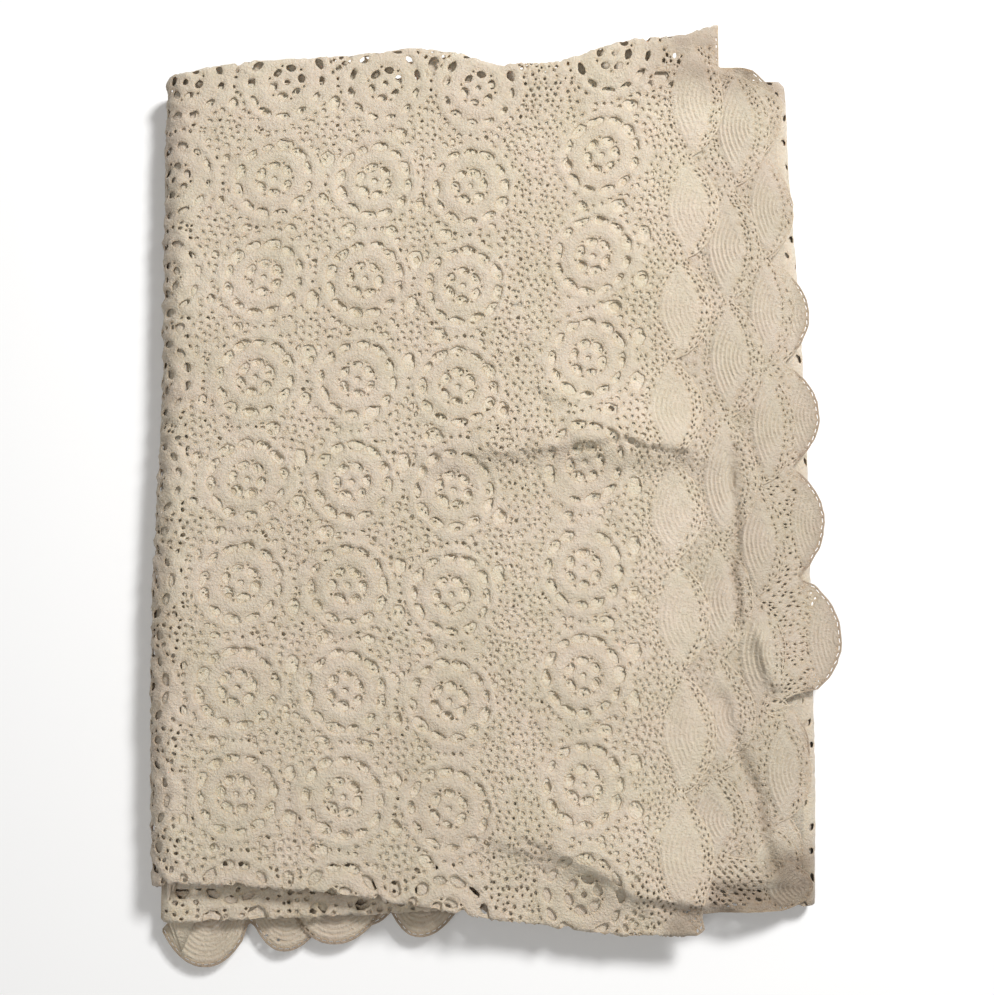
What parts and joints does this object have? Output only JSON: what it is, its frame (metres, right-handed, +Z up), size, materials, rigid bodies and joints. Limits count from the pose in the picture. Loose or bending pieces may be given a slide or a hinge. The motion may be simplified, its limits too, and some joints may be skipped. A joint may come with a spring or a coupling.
{
  "type": "crochet bedspread",
  "caption": "Folded crochet lace bedspread with wheel motifs, a netted side band and a scalloped border, lying as a flat stack of layers.",
  "frame": {"origin": "centre of the bounding box in plan, on the surface that the stack lies on", "axes": "+Z up through the layers, +Y from the front fold to the back folds (the long way of the stack), +X towards the free scalloped edges"},
  "size_m": [0.4996, 0.6887, 0.0487],
  "materials": {
    "crochet_cotton": "matt ecru cotton crochet, treble stitches and chain loops, slightly uneven in tone"
  },
  "bodies": {
    "root": {"bedspread": "crochet_cotton"}
  },
  "joints": []
}
